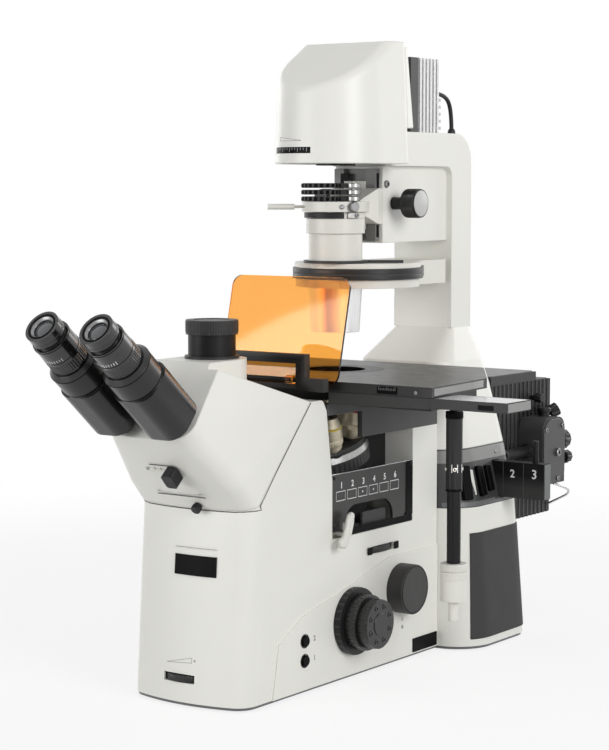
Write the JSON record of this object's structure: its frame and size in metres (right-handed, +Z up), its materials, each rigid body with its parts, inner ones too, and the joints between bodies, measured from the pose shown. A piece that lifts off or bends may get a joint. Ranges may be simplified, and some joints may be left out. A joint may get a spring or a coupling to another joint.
{
  "type": "inverted microscope",
  "caption": "Inverted laboratory microscope: binocular head, turning nosepiece under a sliding stage, tilting light shield, condenser on an arm, lamp head and rear lamp house.",
  "frame": {"origin": "on the bench plane, under the optical axis of the objective in use", "axes": "+X to the operator's right, +Y from the eyepieces to the back of the stand, +Z up"},
  "size_m": [0.48, 0.8743, 0.694],
  "materials": {
    "dark_metal": "painted dark grey, satin",
    "black_metal": "black anodised",
    "white_body": "cast, painted white, satin",
    "grey_band": "painted dark grey, satin",
    "rubber": "matte",
    "black_rubber": "matte",
    "aluminium": "satin",
    "chrome": "gloss",
    "mirror": "gloss",
    "glass": "gloss",
    "black_plastic": "matte",
    "orange_sheet": "gloss"
  },
  "bodies": {
    "stand": {"base_plate": "dark_metal", "rubber_feet": "rubber", "lower_body": "white_body", "front_column": "white_body", "rear_column": "white_body", "head_cover": "white_body", "arm": "white_body", "epi_collar": "black_metal", "lamp_head_cover": "white_body", "lamp_head_floor": "dark_metal", "lamp_box": "dark_metal", "lamp_heat_sink": "aluminium", "field_lamp": "mirror", "lamp_cable": "black_rubber", "camera_port": "black_metal", "stage_support": "dark_metal", "label_panel": "grey_band", "condenser_rail": "dark_metal", "tube_lens": "glass", "beam_prism": "glass", "lamp_house": "black_metal", "lamp_house_cover": "black_metal", "lamp_socket": "aluminium", "lamp_wire": "chrome"},
    "left_tube": {"left_tube": "black_plastic"},
    "right_tube": {"right_tube": "black_plastic"},
    "left_eyepiece": {"left_eyepiece": "black_plastic"},
    "right_eyepiece": {"right_eyepiece": "black_plastic"},
    "light_path_selector": {"light_path_selector": "black_plastic"},
    "brightness_wheel": {"brightness_wheel": "black_plastic"},
    "upper_button": {"upper_button": "black_plastic"},
    "lower_button": {"lower_button": "black_plastic"},
    "focus_carriage": {"focus_carriage": "dark_metal"},
    "coarse_knobs": {"coarse_knobs": "black_plastic"},
    "fine_knobs": {"fine_knobs": "black_plastic"},
    "tension_ring": {"tension_ring": "black_plastic"},
    "port_knob": {"port_knob": "black_plastic"},
    "magnification_dial": {"magnification_dial": "black_plastic"},
    "cube_turret": {"cube_turret": "black_metal"},
    "shutter_lever": {"shutter_lever": "aluminium"},
    "nosepiece": {"nosepiece": "dark_metal", "objectives": "chrome"},
    "stage_y_carriage": {"stage_y_carriage": "black_metal"},
    "stage_plate": {"stage_plate": "black_metal", "stage_insert": "aluminium", "shield_bracket": "dark_metal"},
    "stage_y_knob": {"stage_y_knob": "black_plastic"},
    "stage_x_knob": {"stage_x_knob": "black_plastic"},
    "shield": {"shield": "orange_sheet"},
    "condenser_carriage": {"condenser_carriage": "white_body", "condenser_lens": "aluminium"},
    "condenser_knobs": {"condenser_knobs": "black_plastic"},
    "condenser_turret": {"condenser_turret": "black_metal"},
    "diaphragm_lever": {"diaphragm_lever": "aluminium"},
    "iris_lever": {"iris_lever": "black_metal"},
    "epi_slider": {"epi_slider": "black_metal"},
    "lamp_adjuster": {"lamp_adjuster": "black_plastic"},
    "filter_holder_1": {"filter_holder_1": "black_metal"},
    "filter_holder_2": {"filter_holder_2": "black_metal"},
    "filter_holder_3": {"filter_holder_3": "black_metal"}
  },
  "joints": [
    {"name": "left_tube_swing", "type": "hinge", "parent": "stand", "child": "left_tube", "pos_m": [0, -0.3024, 0.32591], "axis": [0, -0.7608, 0.6489], "range_deg": [-3.9, 9.5]},
    {"name": "right_tube_swing", "type": "hinge", "parent": "stand", "child": "right_tube", "pos_m": [0, -0.3024, 0.32591], "axis": [0, -0.7608, 0.6489], "range_deg": [-9.5, 3.9]},
    {"name": "left_dioptre", "type": "hinge", "parent": "left_tube", "child": "left_eyepiece", "pos_m": [-0.0342, -0.32729, 0.29719], "axis": [0, -0.7608, 0.6489], "range_deg": [-150, 150]},
    {"name": "right_dioptre", "type": "hinge", "parent": "right_tube", "child": "right_eyepiece", "pos_m": [0.0342, -0.32729, 0.29719], "axis": [0, -0.7608, 0.6489], "range_deg": [-150, 150]},
    {"name": "light_path_slide", "type": "slide", "parent": "stand", "child": "light_path_selector", "axis": [1, 0, 0], "range_m": [-0.036, 0]},
    {"name": "brightness_turn", "type": "hinge", "parent": "stand", "child": "brightness_wheel", "pos_m": [-0.003, -0.25318, 0.026], "axis": [0, 0, 1], "range_deg": [-150, 150]},
    {"name": "upper_button_press", "type": "slide", "parent": "stand", "child": "upper_button", "axis": [-1, 0, 0], "range_m": [0, 0.0015], "stiffness_N_per_m": 300},
    {"name": "lower_button_press", "type": "slide", "parent": "stand", "child": "lower_button", "axis": [-1, 0, 0], "range_m": [0, 0.0015], "stiffness_N_per_m": 300},
    {"name": "focus_slide", "type": "slide", "parent": "stand", "child": "focus_carriage", "axis": [0, 0, 1], "range_m": [-0.0015, 0.007]},
    {"name": "coarse_turn", "type": "hinge", "parent": "stand", "child": "coarse_knobs", "pos_m": [0, -0.0784, 0.0646], "axis": [1, 0, 0], "range_deg": [-54.1, 252.2]},
    {"name": "fine_turn", "type": "hinge", "parent": "stand", "child": "fine_knobs", "pos_m": [0, -0.0784, 0.0646], "axis": [1, 0, 0], "continuous": true},
    {"name": "tension_turn", "type": "hinge", "parent": "stand", "child": "tension_ring", "pos_m": [0, -0.0784, 0.0646], "axis": [1, 0, 0], "range_deg": [-60, 60]},
    {"name": "port_turn", "type": "hinge", "parent": "stand", "child": "port_knob", "pos_m": [0.0765, 0.017, 0.0855], "axis": [1, 0, 0], "range_deg": [-90, 90]},
    {"name": "magnification_turn", "type": "hinge", "parent": "stand", "child": "magnification_dial", "pos_m": [0.03, -0.017, 0.1319], "axis": [0, 0, 1], "range_deg": [-120, 120]},
    {"name": "cube_turret_turn", "type": "hinge", "parent": "stand", "child": "cube_turret", "pos_m": [0, -0.044, 0.1606], "axis": [0, 0, 1], "continuous": true},
    {"name": "shutter_turn", "type": "hinge", "parent": "stand", "child": "shutter_lever", "pos_m": [0.062, -0.098, 0.1606], "axis": [0, 0, 1], "range_deg": [-18, 18]},
    {"name": "nosepiece_turn", "type": "hinge", "parent": "focus_carriage", "child": "nosepiece", "pos_m": [0, -0.036, 0.228], "axis": [0, -0.2588, 0.9659], "continuous": true},
    {"name": "stage_y_slide", "type": "slide", "parent": "stand", "child": "stage_y_carriage", "axis": [0, 1, 0], "range_m": [-0.036, 0.02]},
    {"name": "stage_x_slide", "type": "slide", "parent": "stage_y_carriage", "child": "stage_plate", "axis": [1, 0, 0], "range_m": [-0.038, 0.038]},
    {"name": "stage_y_turn", "type": "hinge", "parent": "stage_y_carriage", "child": "stage_y_knob", "pos_m": [0.19, -0.055, 0.128], "axis": [0, 0, 1], "range_deg": [-294.6, 163.8]},
    {"name": "stage_x_turn", "type": "hinge", "parent": "stage_y_carriage", "child": "stage_x_knob", "pos_m": [0.19, -0.055, 0.096], "axis": [0, 0, 1], "range_deg": [-311, 311]},
    {"name": "shield_tilt", "type": "hinge", "parent": "stage_plate", "child": "shield", "pos_m": [0, -0.14, 0.33], "axis": [1, 0, 0], "range_deg": [0, 20]},
    {"name": "condenser_slide", "type": "slide", "parent": "stand", "child": "condenser_carriage", "axis": [0, 0, 1], "range_m": [-0.038, 0.01]},
    {"name": "condenser_focus_turn", "type": "hinge", "parent": "stand", "child": "condenser_knobs", "pos_m": [0, 0.07, 0.515], "axis": [1, 0, 0], "range_deg": [-228.1, 60.1]},
    {"name": "condenser_turret_turn", "type": "hinge", "parent": "condenser_carriage", "child": "condenser_turret", "pos_m": [0, 0.045, 0.4307], "axis": [0, 0, 1], "continuous": true},
    {"name": "field_diaphragm_turn", "type": "hinge", "parent": "condenser_carriage", "child": "diaphragm_lever", "pos_m": [0, 0, 0.5093], "axis": [0, 0, 1], "range_deg": [-18, 18]},
    {"name": "iris_turn", "type": "hinge", "parent": "condenser_carriage", "child": "iris_lever", "pos_m": [0, 0, 0.4489], "axis": [0, 0, 1], "range_deg": [-15, 15]},
    {"name": "epi_slide", "type": "slide", "parent": "stand", "child": "epi_slider", "axis": [1, 0, 0], "range_m": [-0.024, 0.012]},
    {"name": "lamp_adjust_turn", "type": "hinge", "parent": "stand", "child": "lamp_adjuster", "pos_m": [0.066, 0.388, 0.214], "axis": [0, 1, 0], "range_deg": [-150, 150]},
    {"name": "filter_1_swing", "type": "hinge", "parent": "condenser_carriage", "child": "filter_holder_1", "pos_m": [0.017, 0.01, 0.5173], "axis": [0, 0, 1], "range_deg": [0, 95]},
    {"name": "filter_2_swing", "type": "hinge", "parent": "condenser_carriage", "child": "filter_holder_2", "pos_m": [0.017, 0.01, 0.5173], "axis": [0, 0, 1], "range_deg": [0, 95]},
    {"name": "filter_3_swing", "type": "hinge", "parent": "condenser_carriage", "child": "filter_holder_3", "pos_m": [0.017, 0.01, 0.5173], "axis": [0, 0, 1], "range_deg": [0, 95]}
  ],
  "couplings": [
    {"joint": "right_tube_swing", "follows": "left_tube_swing", "ratio": -1},
    {"joint": "coarse_turn", "follows": "focus_slide", "rad_per_m": 628.32},
    {"joint": "stage_y_turn", "follows": "stage_y_slide", "rad_per_m": 142.8},
    {"joint": "stage_x_turn", "follows": "stage_x_slide", "rad_per_m": 142.8},
    {"joint": "condenser_focus_turn", "follows": "condenser_slide", "rad_per_m": 104.72}
  ]
}
